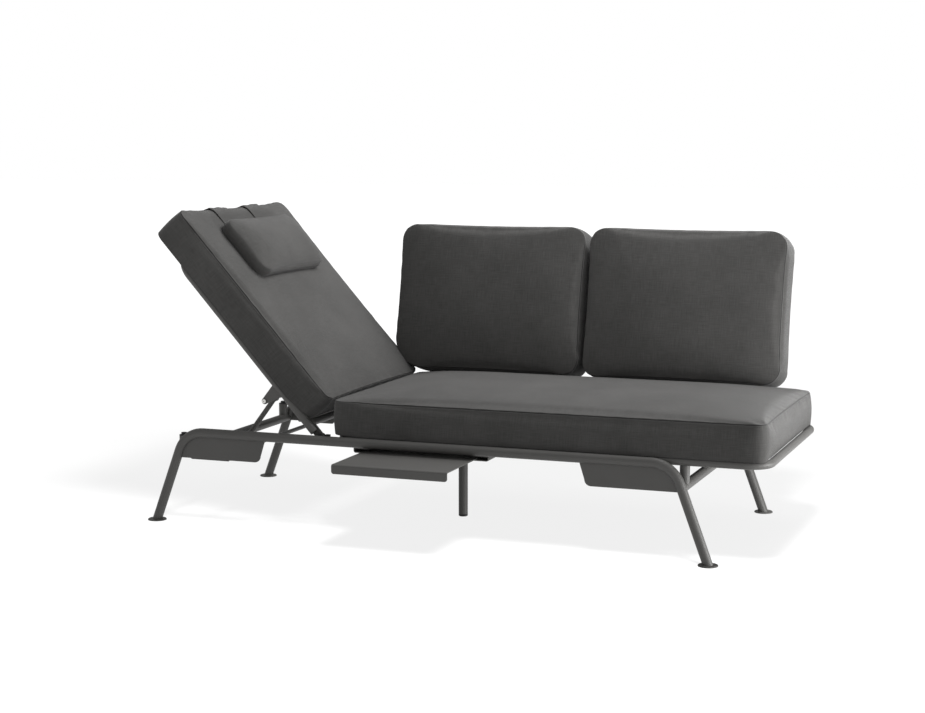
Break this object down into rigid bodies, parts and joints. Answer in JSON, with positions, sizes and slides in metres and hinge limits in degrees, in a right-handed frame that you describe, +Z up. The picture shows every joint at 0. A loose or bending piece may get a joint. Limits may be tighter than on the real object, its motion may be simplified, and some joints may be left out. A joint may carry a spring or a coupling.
{
  "type": "garden sofa",
  "caption": "Low garden sofa and daybed with a steel tube frame, reclining end on a notched prop, sliding side tray, loose back cushions and a head pillow.",
  "frame": {"origin": "on the floor under the middle of the centre leg", "axes": "+X along the sofa away from the reclining end, +Y to the back, +Z up"},
  "size_m": [2.0148, 1.2179, 0.9872],
  "materials": {
    "anthracite_steel": "matte powder coat",
    "fabric": "woven outdoor fabric",
    "black_plastic": "matte",
    "bright_steel": "zinc plated"
  },
  "bodies": {
    "frame": {"front_leg_frame": "anthracite_steel", "rear_leg_frame": "anthracite_steel", "front_left_panel": "anthracite_steel", "front_right_panel": "anthracite_steel", "rear_left_panel": "anthracite_steel", "rear_right_panel": "anthracite_steel", "left_cross_tube": "anthracite_steel", "right_cross_tube": "anthracite_steel", "left_stubs": "anthracite_steel", "right_stubs": "anthracite_steel", "rest_pads": "black_plastic", "foot_plates": "anthracite_steel", "centre_leg": "anthracite_steel", "centre_cross_tube": "anthracite_steel", "centre_glide": "black_plastic", "seat_ring_right": "anthracite_steel", "seat_ring_left": "anthracite_steel", "seat_slats": "anthracite_steel", "hinge_ears": "anthracite_steel", "hinge_washers": "black_plastic", "hinge_stops": "black_plastic", "hinge_pins": "bright_steel", "hinge_spacers": "black_plastic", "front_prop_guide": "anthracite_steel", "rear_prop_guide": "anthracite_steel", "left_tray_guide": "anthracite_steel", "right_tray_guide": "anthracite_steel", "tray_guide_tie": "anthracite_steel", "tray_glides": "black_plastic", "left_back_frame": "anthracite_steel", "right_back_frame": "anthracite_steel", "left_back_bars": "anthracite_steel", "right_back_bars": "anthracite_steel", "left_back_stubs": "anthracite_steel", "right_back_stubs": "anthracite_steel", "seat_cushion": "fabric", "left_back_cushion": "fabric", "right_back_cushion": "fabric"},
    "recliner": {"recliner_frame": "anthracite_steel", "recliner_slats": "anthracite_steel", "recliner_cross_bar": "anthracite_steel", "hinge_lugs": "anthracite_steel", "prop_brackets": "anthracite_steel", "pivot_rod": "anthracite_steel", "pivot_bolts": "bright_steel"},
    "prop": {"prop_arms": "anthracite_steel", "foot_rod": "anthracite_steel", "foot_rod_collars": "black_plastic"},
    "recliner_pad": {"recliner_cushion": "fabric", "pillow_straps": "fabric"},
    "pillow": {"head_pillow": "fabric"},
    "tray": {"tray": "anthracite_steel"}
  },
  "joints": [
    {"name": "recliner_hinge", "type": "hinge", "parent": "frame", "child": "recliner", "pos_m": [-0.343, 0, 0.297], "axis": [0, 1, 0], "range_deg": [-48, 0]},
    {"name": "prop_pivot", "type": "hinge", "parent": "recliner", "child": "prop", "pos_m": [-0.52781, 0, 0.40242], "axis": [0, 1, 0], "range_deg": [0, 101.5]},
    {"name": "cushion_slide", "type": "slide", "parent": "recliner", "child": "recliner_pad", "axis": [-0.6691, 0, 0.7431], "range_m": [-0.0955, 0]},
    {"name": "pillow_slide", "type": "slide", "parent": "recliner_pad", "child": "pillow", "axis": [-0.6691, 0, 0.7431], "range_m": [-0.1, 0.02]},
    {"name": "tray_slide", "type": "slide", "parent": "frame", "child": "tray", "axis": [0, 1, 0], "range_m": [0, 0.21]}
  ],
  "couplings": [
    {"joint": "prop_pivot", "follows": "recliner_hinge", "ratio": -2.1042},
    {"joint": "cushion_slide", "follows": "recliner_hinge", "m_per_rad": 0.1134}
  ]
}
